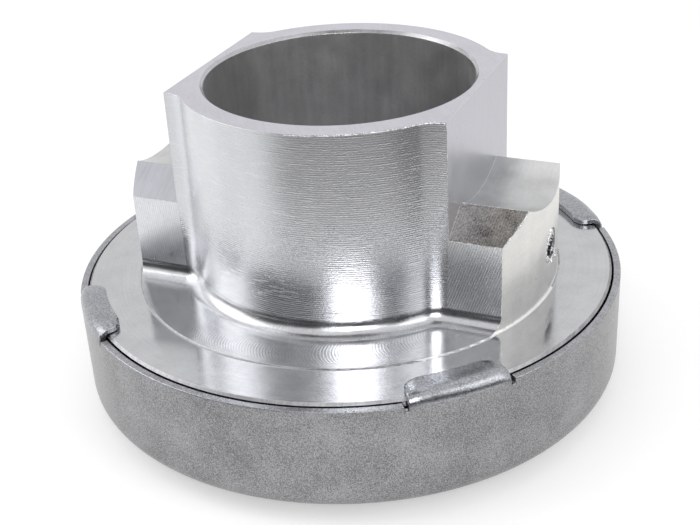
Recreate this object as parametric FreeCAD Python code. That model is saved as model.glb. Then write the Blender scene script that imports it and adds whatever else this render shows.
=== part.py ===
import FreeCAD, Part
import math
import os

# Clutch release bearing. An aluminium carrier slides on the gearbox guide tube and is pushed by the
# clutch fork on its two lugs. Under its flange a steel cup, crimped over the flange with four tabs,
# holds an angular contact ball bearing that can shift sideways to centre itself.
# Millimetres. The origin is on the bore axis, in the plane of the face that meets the clutch fingers.
# +Z points to the gearbox, and the two fork lugs lie along X.

Vector = FreeCAD.Vector
origin = Vector(0, 0, 0)
x_axis = Vector(1, 0, 0)
z_axis = Vector(0, 0, 1)
full_turn = 360

# A cutting tool runs this far past what it cuts, and points this close together count as one.
overcut = 1.0
same_point = 1e-6

# Carrier: guide bore, barrel and the two flat cheeks
overall_height = 54.9
bore_radius = 22.25
bore_chamfer = 0.5
barrel_wall = 4.1
cheek_wall = 1.55
cheek_length = 31.6
inside_corner_radius = 5.0
inside_corner_limit = 0.95

# Carrier: fork lugs, their saddles and the clip holes in their ends
lug_reach = 12.2
lug_height = 18.1
saddle_chord = 19.0
saddle_depth = 2.2
lug_bevel_drop = 3.6
lug_toe_radius = 0.6
base_fillet_radius = 2.4
clip_hole_radius = 2.5
clip_hole_depth = 7.0
clip_hole_height = 7.9
clip_hole_chamfer = 0.4
drill_point_angle = 118

# Carrier: flange
flange_thickness = 4.2
flange_edge_chamfer = 0.4
flange_back_chamfer = 0.4
milled_floor_step = 0.2
flange_above_rim = 0.4

# Retaining cup and its crimped tabs
cup_wall = 1.2
cup_height = 18.2
cup_corner_radius = 3.0
cup_edge_radius = 0.3
flange_gap = 0.3
tab_count = 4
tab_width_angle = 20.4
tab_first_angle = 43.4
tab_reach = 3.3
tab_bend_radius = 0.65
tab_corner_radius = 1.6
slit_width = 0.7
slit_depth = 1.0

# Ball bearing
nose_projection = 2.4
ball_diameter = 7.938
ball_count = 18
contact_angle = 40
race_conformity = 1.04
ball_play = 0.03
race_shoulder = 1.9
outer_ring_cover = 0.4
outer_ring_wall = 5.1
thrust_ring_cover = 0.15
thrust_ring_wall = 5.4
thrust_bore_clearance = 3.15
nose_inset = 1.8
nose_width = 5.6
thrust_neck_height = 3.0
thrust_top_gap = 0.5
ring_edge_radius = 0.5

# Room in which the bearing centres itself, and the wave spring that holds it where it is
centring_travel = 1.0
centring_margin = 0.13
slip_gap = 0.03
spring_room = 1.2
spring_thickness = 0.4
spring_width = 3.8
spring_waves = 4
spring_gap = 0.05
points_per_wave = 8

# Cage
cage_thickness = 1.9
cage_rim = 0.8
cage_edge_radius = 0.3
pocket_play = 0.12
cage_side_gap = 0.35

# Seals
seal_height = 0.9
seal_web = 0.5
seal_bead = 0.75
seal_edge_radius = 0.1
seal_lip_length = 0.8
seal_lip_drop = 0.12
seal_lip_gap = 0.1
seal_recess = 0.1
seal_seat_depth = 1.0

# Heights of the stack, from the clutch face up
cup_floor = nose_projection + cup_wall
cup_rim = nose_projection + cup_height
flange_top = cup_rim + flange_above_rim
flange_back = flange_top - flange_thickness
milled_floor = flange_top + milled_floor_step
lug_top = flange_top + lug_height
ring_top = flange_back - slip_gap
ring_bottom = cup_floor + spring_room

# Carrier radii
half_flats = bore_radius + cheek_wall
half_length = cheek_length / 2
barrel_radius = bore_radius + barrel_wall
lug_end_radius = half_flats + lug_reach

# Race grooves, whose centres sit apart so that both touch the balls at the contact angle
contact = math.radians(contact_angle)
ball_radius = ball_diameter / 2
race_radius = ball_radius * race_conformity
race_shift = race_radius - ball_radius - ball_play
race_shift_out = race_shift * math.cos(contact)
race_shift_up = race_shift * math.sin(contact)

# Bearing radii, from the guide bore outwards to the cup
thrust_bore_radius = bore_radius + thrust_bore_clearance
nose_inner_radius = thrust_bore_radius + nose_inset
nose_outer_radius = nose_inner_radius + nose_width
inner_land_radius = thrust_bore_radius + thrust_ring_wall
pitch_radius = inner_land_radius + race_radius - race_shift_out
outer_land_radius = pitch_radius + race_radius - race_shift_out
outer_shoulder_radius = pitch_radius - ball_radius * outer_ring_cover
thrust_shoulder_radius = pitch_radius + ball_radius * thrust_ring_cover
front_seat_radius = outer_land_radius + seal_seat_depth
ring_radius = outer_land_radius + outer_ring_wall
ball_height = ring_top - race_shoulder - race_radius + race_shift_up

# Cup and flange radii, with room for the bearing to shift both ways at once
centring_room = centring_travel * math.sqrt(2) + centring_margin
cup_inside = ring_radius + centring_room
cup_radius = cup_inside + cup_wall
flange_radius = cup_inside - flange_gap
cup_opening_radius = thrust_shoulder_radius + centring_room + cup_edge_radius
spring_outer_radius = cup_radius - cup_corner_radius - centring_travel


def turned(corners, angle=full_turn):
    # Turns a closed outline round the Z axis. Each corner is a radius, a height and a rounding.
    return Part.Face(rounded_wire(corners)).revolve(origin, z_axis, angle)


def rounded_wire(corners):
    # Straight runs in the XZ plane with an arc at each corner that has a rounding.
    ends = []
    for i, (x, z, rounding) in enumerate(corners):
        here = Vector(x, 0, z)
        before = Vector(corners[i - 1][0], 0, corners[i - 1][1])
        after = Vector(corners[(i + 1) % len(corners)][0], 0, corners[(i + 1) % len(corners)][1])
        ends.append(corner_points(before, here, after, rounding))
    edges = []
    for i, points in enumerate(ends):
        if len(points) == 3:
            edges.append(Part.Arc(*points).toShape())
        following = ends[(i + 1) % len(ends)][0]
        if points[-1].distanceToPoint(following) > same_point:
            edges.append(Part.makeLine(points[-1], following))
    return Part.Wire(edges)


def corner_points(before, here, after, rounding):
    # One point for a sharp corner, or the start, middle and end of its round.
    if rounding <= 0:
        return [here]
    back = (before - here).normalize()
    on = (after - here).normalize()
    half = back.getAngle(on) / 2
    reach = rounding / math.tan(half)
    inward = (back + on).normalize()
    middle = here + inward * (rounding / math.sin(half) - rounding)
    return [here + back * reach, middle, here + on * reach]


def tube(inner, outer, low, high):
    return turned([(inner, low, 0), (outer, low, 0), (outer, high, 0), (inner, high, 0)])


def edges_where(shape, test):
    # The edges whose middle passes the test.
    return [e for e in shape.Edges if test(e.CenterOfMass)]


def near(value, wanted, within=0.01):
    return abs(value - wanted) < within


def spread_round(shape, count, first_angle=0):
    # The same shape at equal angles round the Z axis.
    copies = []
    for i in range(count):
        copy = shape.copy()
        copy.rotate(origin, z_axis, first_angle + i * full_turn / count)
        copies.append(copy)
    return copies


def barrel_and_cheeks():
    # A round barrel, flat on two sides, whose four cheek corners stand out past it.
    height = overall_height - flange_back
    cheeks = upright_block(half_flats, half_length, height)
    slab = upright_block(half_flats, barrel_radius, height)
    barrel = Part.makeCylinder(barrel_radius, height, Vector(0, 0, flange_back))
    column = cheeks.fuse(barrel.common(slab)).removeSplitter()
    meeting = math.sqrt(barrel_radius**2 - half_length**2)
    corners = edges_where(column, lambda p: near(abs(p.x), meeting) and near(abs(p.y), half_length))
    room = half_flats**2 + half_length**2 - barrel_radius**2
    largest = inside_corner_limit * room / (2 * (barrel_radius - half_length))
    return column.makeFillet(min(inside_corner_radius, largest), corners)


def upright_block(half_x, half_y, height):
    return Part.makeBox(2 * half_x, 2 * half_y, height, Vector(-half_x, -half_y, flange_back))


def lug_bar(reach):
    # The bar that carries both saddles: a hollow top between two bevels, the same along X.
    half_chord = saddle_chord / 2
    bevel_low = lug_top - lug_bevel_drop
    outline = [
        Vector(-reach, -half_length, flange_back),
        Vector(-reach, -half_length, bevel_low),
        Vector(-reach, -half_chord, lug_top),
        Vector(-reach, half_chord, lug_top),
        Vector(-reach, half_length, bevel_low),
        Vector(-reach, half_length, flange_back),
    ]
    deepest = Vector(-reach, 0, lug_top - saddle_depth)
    edges = [Part.makeLine(outline[i], outline[i + 1]) for i in (0, 1, 3, 4)]
    edges.insert(2, Part.Arc(outline[2], deepest, outline[3]).toShape())
    edges.append(Part.makeLine(outline[5], outline[0]))
    return Part.Face(Part.Wire(edges)).extrude(x_axis * 2 * reach)


def clip_holes():
    # A blind drilled hole in the end of each lug, with its drill point and a small chamfer.
    point_depth = clip_hole_radius / math.tan(math.radians(drill_point_angle / 2))
    mouth = clip_hole_radius + clip_hole_chamfer
    profile = [
        (0, clip_hole_depth + point_depth, 0),
        (clip_hole_radius, clip_hole_depth, 0),
        (clip_hole_radius, clip_hole_chamfer, 0),
        (mouth, 0, 0),
        (mouth + overcut, -overcut, 0),
        (0, -overcut, 0),
    ]
    drill = turned(profile)
    drill.rotate(origin, Vector(0, 1, 0), -90)
    drill.translate(Vector(lug_end_radius, 0, flange_top + clip_hole_height))
    return spread_round(drill, 2)


def carrier_sleeve():
    # Milled first as one block with its lugs, then turned round the lug ends and joined to the flange.
    reach = flange_radius
    floor = upright_block(reach, reach, milled_floor - flange_back)
    body = floor.fuse([lug_bar(reach), barrel_and_cheeks()]).removeSplitter()
    inside = reach - overcut
    at_floor = edges_where(
        body, lambda p: near(p.z, milled_floor) and abs(p.x) < inside and abs(p.y) < inside
    )
    body = body.makeFillet(base_fillet_radius, at_floor)
    toe = lug_end_radius + 2 * lug_toe_radius
    turned_envelope = turned([
        (0, flange_back, 0),
        (toe, flange_back, 0),
        (toe, flange_top, 0),
        (lug_end_radius, flange_top, lug_toe_radius),
        (lug_end_radius, overall_height, 0),
        (0, overall_height, 0),
    ])
    body = body.common(turned_envelope).cut(clip_holes())
    chamfer = flange_edge_chamfer
    back = flange_back_chamfer
    flange = turned([
        (0, flange_back, 0),
        (flange_radius - back, flange_back, 0),
        (flange_radius, flange_back + back, 0),
        (flange_radius, flange_top - chamfer, 0),
        (flange_radius - chamfer, flange_top, 0),
        (0, flange_top, 0),
    ])
    mouth = bore_radius + bore_chamfer
    bore = turned([
        (0, flange_back - overcut, 0),
        (mouth + overcut, flange_back - overcut, 0),
        (mouth, flange_back, 0),
        (bore_radius, flange_back + bore_chamfer, 0),
        (bore_radius, overall_height - bore_chamfer, 0),
        (mouth, overall_height, 0),
        (mouth + overcut, overall_height + overcut, 0),
        (0, overall_height + overcut, 0),
    ])
    return body.fuse(flange).removeSplitter().cut(bore)


def retaining_cup():
    # A pressed cup with an opening for the thrust ring, slit at the rim on both sides of each tab.
    edge = cup_edge_radius
    inside_corner = cup_corner_radius - cup_wall
    cup = turned([
        (cup_opening_radius, nose_projection, edge),
        (cup_radius, nose_projection, cup_corner_radius),
        (cup_radius, cup_rim, edge),
        (cup_inside, cup_rim, edge),
        (cup_inside, cup_floor, inside_corner),
        (cup_opening_radius, cup_floor, edge),
    ])
    slit_floor = cup_rim - slit_depth
    slit_angle = math.degrees(slit_width / cup_radius)
    blank_angle = tab_width_angle + 2 * slit_angle
    notch = tube(cup_inside - overcut, cup_radius + overcut, slit_floor, cup_rim + overcut)
    room = sector(notch, blank_angle)
    cup = cup.cut(spread_round(room, tab_count, tab_first_angle))
    tabs = spread_round(crimped_tab(slit_floor), tab_count, tab_first_angle)
    return cup.fuse(tabs).removeSplitter()


def crimped_tab(foot):
    # The wall runs up past the rim and is bent in flat on the flange, with rounded free corners.
    tip = flange_radius - tab_reach
    top = flange_top + cup_wall
    tab = turned([
        (cup_inside, foot, 0),
        (cup_radius, foot, 0),
        (cup_radius, top, tab_bend_radius + cup_wall),
        (tip, top, 0),
        (tip, flange_top, 0),
        (cup_inside, flange_top, tab_bend_radius),
    ], tab_width_angle)
    tab.rotate(origin, z_axis, -tab_width_angle / 2)
    middle = (flange_top + top) / 2
    free_corners = edges_where(
        tab, lambda p: near(math.hypot(p.x, p.y), tip) and near(p.z, middle)
    )
    tab = tab.makeFillet(tab_corner_radius, free_corners)
    inside_bend = flange_radius - tab_bend_radius - cup_wall
    rim = edges_where(tab, lambda p: near(p.z, top) and math.hypot(p.x, p.y) < inside_bend)
    return tab.makeFillet(cup_edge_radius, rim)


def sector(ring, angle):
    # The part of a ring that lies within an angle, half of it each side of +X.
    wedge = Part.makeCylinder(cup_radius + overcut, overall_height, origin, z_axis, angle)
    wedge.rotate(origin, z_axis, -angle / 2)
    return ring.common(wedge)


def wave_spring():
    # A flat ring of spring steel, pressed into waves that bear on the cup floor and on the outer ring.
    outer = spring_outer_radius
    inner = outer - spring_width
    swing = (spring_room - spring_thickness) / 2 - spring_gap
    middle = cup_floor + spring_room / 2
    rims = [
        wave_edge(radius, middle + side * spring_thickness / 2, swing)
        for radius, side in ((inner, -1), (outer, -1), (outer, 1), (inner, 1))
    ]
    faces = [Part.makeRuledSurface(rims[i], rims[(i + 1) % 4]) for i in range(4)]
    shell = Part.makeShell(faces)
    shell.sewShape()
    return Part.makeSolid(shell)


def wave_edge(radius, height, swing):
    steps = points_per_wave * spring_waves
    points = []
    for i in range(steps):
        turn = 2 * math.pi * i / steps
        wave = swing * math.cos(spring_waves * turn)
        points.append(Vector(radius * math.cos(turn), radius * math.sin(turn), height + wave))
    curve = Part.BSplineCurve()
    curve.interpolate(Points=points, PeriodicFlag=True)
    return curve.toShape()


def race_groove(side):
    # side is 1 for the outer ring, whose groove bears up and out, and -1 for the thrust ring.
    middle = Vector(0, 0, ball_height - side * race_shift_up)
    return Part.makeTorus(pitch_radius - side * race_shift_out, race_radius, middle)


def outer_ring():
    edge = ring_edge_radius
    seat_top = ring_bottom + seal_height + seal_recess
    blank = turned([
        (front_seat_radius, ring_bottom, 0),
        (ring_radius, ring_bottom, edge),
        (ring_radius, ring_top, edge),
        (outer_shoulder_radius, ring_top, 0),
        (outer_shoulder_radius, ball_height, 0),
        (outer_land_radius, ball_height, 0),
        (outer_land_radius, seat_top, 0),
        (front_seat_radius, seat_top, 0),
    ])
    return blank.cut(race_groove(1))


def thrust_ring():
    # The turning ring: a wall inside the balls, a shoulder under them and the nose that meets the fingers.
    edge = ring_edge_radius
    top = flange_back - thrust_top_gap
    blank = turned([
        (nose_inner_radius, 0, edge),
        (nose_outer_radius, 0, edge),
        (thrust_shoulder_radius, thrust_neck_height, edge),
        (thrust_shoulder_radius, ball_height, 0),
        (inner_land_radius, ball_height, 0),
        (inner_land_radius, top, 0),
        (thrust_bore_radius, top, edge),
        (thrust_bore_radius, thrust_neck_height, edge),
    ])
    return blank.cut(race_groove(-1))


def ball_centre(number):
    turn = 2 * math.pi * number / ball_count
    return Vector(pitch_radius * math.cos(turn), pitch_radius * math.sin(turn), ball_height)


def ball(number):
    return Part.makeSphere(ball_radius, ball_centre(number))


def ball_cage():
    # A band across the line of contact, trimmed clear of both rings, with a round pocket for each ball.
    along = ball_radius + pocket_play + cage_rim
    across = cage_thickness / 2
    along_out = along * math.sin(contact)
    along_down = along * math.cos(contact)
    across_out = across * math.cos(contact)
    across_up = across * math.sin(contact)
    corners = []
    for a, b in ((1, -1), (1, 1), (-1, 1), (-1, -1)):
        radius = pitch_radius + a * along_out + b * across_out
        height = ball_height - a * along_down + b * across_up
        corners.append((radius, height, cage_edge_radius))
    band = turned(corners)
    room = tube(
        inner_land_radius + cage_side_gap,
        outer_land_radius - cage_side_gap,
        ring_bottom,
        flange_back,
    )
    pockets = [
        Part.makeSphere(ball_radius + pocket_play, ball_centre(i)) for i in range(ball_count)
    ]
    return band.common(room).cut(pockets)


def front_seal():
    # Moulded seal in the outer ring's seat, on the clutch side, with its lip round the thrust shoulder.
    bottom = ring_bottom + seal_recess / 2
    return lip_seal(front_seat_radius, thrust_shoulder_radius + seal_lip_gap, bottom)


def rear_seal():
    # The same on the gearbox side, inside the outer ring's shoulder.
    bottom = ring_top - seal_recess - seal_height
    return lip_seal(outer_shoulder_radius, inner_land_radius + seal_lip_gap, bottom)


def lip_seal(seat, lip, bottom):
    # A ring with a thick bead at its seat and a thin web that bends down to the lip.
    top = bottom + seal_height
    web_low = bottom + (seal_height - seal_web) / 2
    web_high = web_low + seal_web
    edge = seal_edge_radius
    bead = seat - seal_bead
    root = lip + seal_lip_length
    return turned([
        (seat, bottom, edge),
        (seat, top, edge),
        (bead, top, edge),
        (bead, web_high, 0),
        (root, web_high, 0),
        (lip, web_high - seal_lip_drop, 0),
        (lip, web_low - seal_lip_drop, 0),
        (root, web_low, 0),
        (bead, web_low, 0),
        (bead, bottom, edge),
    ])


def main():
    os.makedirs("parts", exist_ok=True)
    pieces = {
        "carrier_sleeve": carrier_sleeve(),
        "retaining_cup": retaining_cup(),
        "wave_spring": wave_spring(),
        "outer_ring": outer_ring(),
        "front_seal": front_seal(),
        "rear_seal": rear_seal(),
        "ball_cage": ball_cage(),
        "thrust_ring": thrust_ring(),
    }
    for i in range(ball_count):
        pieces[f"ball_{i + 1:02d}"] = ball(i)
    for name, shape in pieces.items():
        shape.exportStep(f"parts/{name}.step")
        print(f"{name}: {len(shape.Solids)} solid, {shape.Volume:.1f} mm3, valid {shape.isValid()}")


main()
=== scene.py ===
import bpy
import math
import numpy as np
from mathutils import Matrix, Vector


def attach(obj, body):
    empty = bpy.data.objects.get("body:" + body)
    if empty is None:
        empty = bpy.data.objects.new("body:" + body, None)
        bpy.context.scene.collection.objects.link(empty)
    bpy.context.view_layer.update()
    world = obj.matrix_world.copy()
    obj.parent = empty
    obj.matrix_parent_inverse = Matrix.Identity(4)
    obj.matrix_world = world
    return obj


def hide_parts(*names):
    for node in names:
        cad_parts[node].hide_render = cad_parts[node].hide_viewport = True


# Clutch release bearing: bright machined carrier, grey pressed cup crimped over its flange, and the
# ball bearing inside. Metres, +Z to the gearbox, the clutch face lies on the floor at Z = 0.

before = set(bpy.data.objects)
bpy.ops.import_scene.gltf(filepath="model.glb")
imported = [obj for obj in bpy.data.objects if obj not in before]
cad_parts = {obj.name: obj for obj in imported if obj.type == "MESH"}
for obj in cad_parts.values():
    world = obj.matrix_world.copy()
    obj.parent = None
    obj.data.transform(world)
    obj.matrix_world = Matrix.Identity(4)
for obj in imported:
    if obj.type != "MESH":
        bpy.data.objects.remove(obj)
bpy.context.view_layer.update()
mm = 0.001
print("frame loaded:", len(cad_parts), "nodes")


def toLinear(hexColour):
    # sRGB hex text to the linear colour that a shader wants
    c = np.array([int(hexColour[i:i + 2], 16) for i in (1, 3, 5)]) / 255
    lin = np.where(c <= 0.04045, c / 12.92, ((c + 0.055) / 1.055) ** 2.4)
    return (float(lin[0]), float(lin[1]), float(lin[2]), 1.0)


def addNode(tree, kind, settings=None, links=None):
    # one node: its properties and socket values from settings, its inputs from links
    node = tree.nodes.new(kind)
    for name, value in (settings or {}).items():
        if isinstance(name, str) and hasattr(node, name):
            setattr(node, name, value)
        else:
            node.inputs[name].default_value = value
    for name, source in (links or {}).items():
        tree.links.new(source, node.inputs[name])
    return node


def compute(tree, operation, *values, clamp=False):
    # arithmetic on floats and the outputs of other nodes
    numbers = {i: v for i, v in enumerate(values) if isinstance(v, float)}
    outputs = {i: v for i, v in enumerate(values) if not isinstance(v, float)}
    settings = {"operation": operation, "use_clamp": clamp, **numbers}
    return addNode(tree, "ShaderNodeMath", settings, outputs).outputs[0]


def remap(tree, value, given, wanted=(0.0, 1.0), curve="LINEAR"):
    # the given range of values stretched over the wanted one, and held at both ends
    settings = {"interpolation_type": curve, "From Min": given[0], "From Max": given[1],
                "To Min": wanted[0], "To Max": wanted[1]}
    return addNode(tree, "ShaderNodeMapRange", settings, {"Value": value}).outputs[0]


def blendColours(tree, amount, first, second):
    # from the first colour to the second; a colour is hex text or the output of another node
    settings, links = {"data_type": "RGBA"}, {0: amount}
    for socket, colour in ((6, first), (7, second)):
        if isinstance(colour, str):
            settings[socket] = toLinear(colour)
        else:
            links[socket] = colour
    return addNode(tree, "ShaderNodeMix", settings, links).outputs[2]


def inSizes(tree, place, sizeMm, turnDeg=(0, 0, 0)):
    # a place turned and divided by real sizes, so that a pattern repeats about once in each size
    settings = {"vector_type": "TEXTURE", "Rotation": [math.radians(a) for a in turnDeg],
                "Scale": [v * mm for v in sizeMm]}
    return addNode(tree, "ShaderNodeMapping", settings, {"Vector": place}).outputs[0]


def noiseOver(tree, place, sizeMm, character, turnDeg=(0, 0, 0)):
    # noise whose blobs have about the given size; its character is detail and roughness
    settings = {"Scale": 1.0, "Detail": character[0], "Roughness": character[1]}
    links = {"Vector": inSizes(tree, place, sizeMm, turnDeg)}
    return addNode(tree, "ShaderNodeTexNoise", settings, links).outputs[0]


def newMaterial(name):
    material = bpy.data.materials.new(name)
    material.use_nodes = True
    material.node_tree.nodes.clear()
    return material, material.node_tree


def setSurface(tree, shader, kind="ShaderNodeOutputMaterial"):
    addNode(tree, kind, {}, {"Surface": shader.outputs[0]})


def linkObject(name, data):
    thing = bpy.data.objects.new(name, data)
    bpy.context.scene.collection.objects.link(thing)
    return thing


def newPiece(name, points, faces, material):
    mesh = bpy.data.meshes.new(name)
    mesh.from_pydata(points, [], faces)
    mesh.materials.append(material)
    return linkObject(name, mesh)


def gridQuads(rows, columns, closed=False):
    # the four corners of every cell of a grid of points, whose last column may join the first
    lastColumn = columns if closed else columns - 1
    i, j = np.meshgrid(np.arange(rows - 1), np.arange(lastColumn), indexing="ij")
    beside = (j + 1) % columns
    cells = [i * columns + j, i * columns + beside, (i + 1) * columns + beside, (i + 1) * columns + j]
    return np.stack(cells, -1).reshape(-1, 4)


cameraSettings = {
    "lensMm": 64.23,
    "sensorMm": 36.0,
    "clip": (0.01, 20.0),       # metres
    "azimuthDeg": 24.114,       # to the right of the front
    "elevationDeg": 28.205,
    "rollDeg": -3.196,
    "distanceMm": 227.279,
    "aimMm": (-2.589, 5.954, 16.306),
}


def makeCamera(s):
    azimuth, elevation, roll = (math.radians(s[k]) for k in ("azimuthDeg", "elevationDeg", "rollDeg"))
    back = Vector((math.sin(azimuth) * math.cos(elevation), -math.cos(azimuth) * math.cos(elevation),
                   math.sin(elevation)))
    right = Vector((math.cos(azimuth), math.sin(azimuth), 0))
    up = back.cross(right)
    tiltedRight = right * math.cos(roll) + up * math.sin(roll)
    tiltedUp = up * math.cos(roll) - right * math.sin(roll)
    data = bpy.data.cameras.new("photoCamera")
    data.lens = s["lensMm"]
    data.sensor_width = s["sensorMm"]
    data.clip_start, data.clip_end = s["clip"]
    camera = linkObject("photoCamera", data)
    place = Matrix((tiltedRight, tiltedUp, back)).transposed().to_4x4()
    place.translation = (Vector(s["aimMm"]) + back * s["distanceMm"]) * mm
    camera.matrix_world = place
    bpy.context.scene.camera = camera


makeCamera(cameraSettings)
bpy.context.scene.view_settings.view_transform = "Standard"

worldSettings = {"light": 0.62}
white = (1.0, 1.0, 1.0, 1.0)


def seenDirectly(tree):
    # 1 where the ray comes from the camera, a mirror or glass, and 0 for plain light
    path = addNode(tree, "ShaderNodeLightPath").outputs
    both = compute(tree, "ADD", path["Is Camera Ray"], path["Is Glossy Ray"])
    return compute(tree, "ADD", both, path["Is Transmission Ray"], clamp=True)


def makeWorld(s):
    # white all round for the eye and for mirrors, and a dimmer white as plain light
    world = bpy.data.worlds.new("studio")
    bpy.context.scene.world = world
    world.use_nodes = True
    tree = world.node_tree
    tree.nodes.clear()
    dim, full = (addNode(tree, "ShaderNodeBackground", {"Color": white, "Strength": strength})
                 for strength in (s["light"], 1.0))
    mixed = addNode(tree, "ShaderNodeMixShader", {},
                    {0: seenDirectly(tree), 1: dim.outputs[0], 2: full.outputs[0]})
    setSurface(tree, mixed, "ShaderNodeOutputWorld")


makeWorld(worldSettings)

floorSettings = {
    "colour": "#e2e2e2",
    "roughness": 0.9,
    "glow": 0.30,               # added to the lit board where it is seen, so that it reads white
    "heightMm": -0.05,          # a hair under the clutch face
    "halfSize": 0.55,           # metres
    "fade": (0.30, 0.50),       # radii between which the board turns to the background's white
}


def makeFloor(s):
    # White painted board: matt, and shaded only by what stands on it.
    board, tree = newMaterial("paleBoard")
    seen = seenDirectly(tree)
    paint = addNode(tree, "ShaderNodeBsdfPrincipled",
                    {"Base Color": toLinear(s["colour"]), "Roughness": s["roughness"],
                     "Emission Color": white},
                    {"Emission Strength": compute(tree, "MULTIPLY", seen, s["glow"])})
    place = addNode(tree, "ShaderNodeTexCoord").outputs["Object"]
    radius = addNode(tree, "ShaderNodeVectorMath", {"operation": "LENGTH"}, {0: place})
    far = remap(tree, radius.outputs["Value"], s["fade"], curve="SMOOTHSTEP")
    plain = addNode(tree, "ShaderNodeEmission", {"Color": white, "Strength": 1.0})
    mixed = addNode(tree, "ShaderNodeMixShader", {},
                    {0: compute(tree, "MULTIPLY", far, seen), 1: paint.outputs[0], 2: plain.outputs[0]})
    setSurface(tree, mixed)
    low = s["heightMm"] * mm
    half = s["halfSize"]
    corners = [(-half, -half, low), (half, -half, low), (half, half, low), (-half, half, low)]
    floor = newPiece("floor", corners, [(0, 1, 2, 3)], board)


makeFloor(floorSettings)


def stageForMirrors(piece):
    # out of the picture: only bright metal sees it
    piece.visible_camera = False
    piece.visible_diffuse = False
    piece.visible_shadow = False


clothSettings = {
    # grey cloth from the table up behind the camera, a sheet of painted shade: its tones stand for the
    # dark, unlit side of the room that the metal mirrors. Each row: radius and height in metres, tone,
    # and the turn left of which it fades to a pale tone.
    "profile": ((0.092, 0.0004, 0.40, -38), (0.14, 0.0004, 0.36, -38), (0.24, 0.0004, 0.14, -38),
                (0.50, 0.0004, 0.05, -45), (0.95, 0.0004, 0.03, -66), (0.95, 0.22, 0.03, -66),
                (0.95, 0.42, 0.05, -66), (0.95, 0.50, 0.22, -66), (0.95, 0.62, 0.38, -60)),
    "turnDeg": (-66, 84),
    "columns": 49,
    "paleTone": 0.9,
    "fadeDeg": 30,
    "darkerFromDeg": 52,
    "darkerOverDeg": 15,
    "darkerBy": 0.55,
    "roughness": 0.9,
}


def makeCloth(s):
    # The rows are carried round the axis. The tone is painted shade for the metal to mirror, point by
    # point: from the pale tone to the row's own by a smooth step over the fade, and darker by a straight
    # step at the right end.
    felt, tree = newMaterial("mirroredShadeCloth")
    tone = addNode(tree, "ShaderNodeAttribute", {"attribute_name": "tone"})
    setSurface(tree, addNode(tree, "ShaderNodeBsdfPrincipled", {"Roughness": s["roughness"]},
                             {"Base Color": tone.outputs["Color"]}))
    turnDeg = np.linspace(*s["turnDeg"], s["columns"])[None, :]
    turn = np.radians(turnDeg)
    radius, height, grey, fadeFrom = np.array(s["profile"]).T[:, :, None]
    points = np.stack([radius * np.sin(turn), -radius * np.cos(turn), height + 0 * turn], -1)
    # painted shade: the dark rows and the darker right end are unlit surroundings seen in the metal
    fade = np.clip((turnDeg - fadeFrom) / s["fadeDeg"], 0, 1)
    fade = fade * fade * (3 - 2 * fade)
    right = np.clip((turnDeg - s["darkerFromDeg"]) / s["darkerOverDeg"], 0, 1)
    grey = (s["paleTone"] + (grey - s["paleTone"]) * fade) * (1 - s["darkerBy"] * right)
    quads = gridQuads(*points.shape[:2])
    screen = newPiece("cloth", points.reshape(-1, 3).tolist(), quads.tolist(), felt)
    paint = np.stack([grey, grey, grey, np.ones_like(grey)], -1)
    colours = screen.data.attributes.new("tone", "FLOAT_COLOR", "POINT")
    colours.data.foreach_set("color", paint.reshape(-1))
    stageForMirrors(screen)


makeCloth(clothSettings)

ceilingSettings = {
    "at": (-0.06, -0.04, 0.60),
    "size": (0.36, 0.24),
    # dark brown of the painted shade that the bevels mirror
    "colour": "#40362e",
    "roughness": 0.9,
}


def makeCeiling(s):
    # Brown cloth overhead, a sheet of painted shade that stands for an unlit patch above the metal. The
    # right lug's front bevel and the far edge of its saddle mirror it, and the left lug's bevel sees past
    # it.
    brown, tree = newMaterial("mirroredShadeOverhead")
    setSurface(tree, addNode(tree, "ShaderNodeBsdfPrincipled",
                             {"Base Color": toLinear(s["colour"]), "Roughness": s["roughness"]}))
    corners = np.array([(-1, -1, 0), (-1, 1, 0), (1, 1, 0), (1, -1, 0)]) * [*s["size"], 0] / 2
    stageForMirrors(newPiece("ceilingCloth", (corners + s["at"]).tolist(), [(0, 1, 2, 3)], brown))


makeCeiling(ceilingSettings)

lampSettings = {
    "aim": (0, 0, 0.02),
    # place, width and height in metres, power in watts
    "boxes": {
        "leftBox": {"at": (-0.62, -0.18, 0.42), "size": (0.50, 0.60), "watts": 1.6},
        "rightBox": {"at": (0.60, -0.10, 0.36), "size": (0.40, 0.50), "watts": 1.0},
        "topBox": {"at": (-0.10, 0.05, 0.75), "size": (0.50, 0.50), "watts": 0.55},
        "frontBox": {"at": (0.212, -0.475, 0.32), "size": (0.26, 0.24), "watts": 1.20},
    },
}


def makeLamps(s):
    for name, lamp in s["boxes"].items():
        data = bpy.data.lights.new(name, "AREA")
        data.shape = "RECTANGLE"
        data.size, data.size_y = lamp["size"]
        data.energy = lamp["watts"]
        box = linkObject(name, data)
        box.location = lamp["at"]
        ray = Vector(s["aim"]) - Vector(lamp["at"])
        box.rotation_euler = ray.to_track_quat("-Z", "Y").to_euler()


makeLamps(lampSettings)
print("camera, floor, cloths and lamps made")

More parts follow.
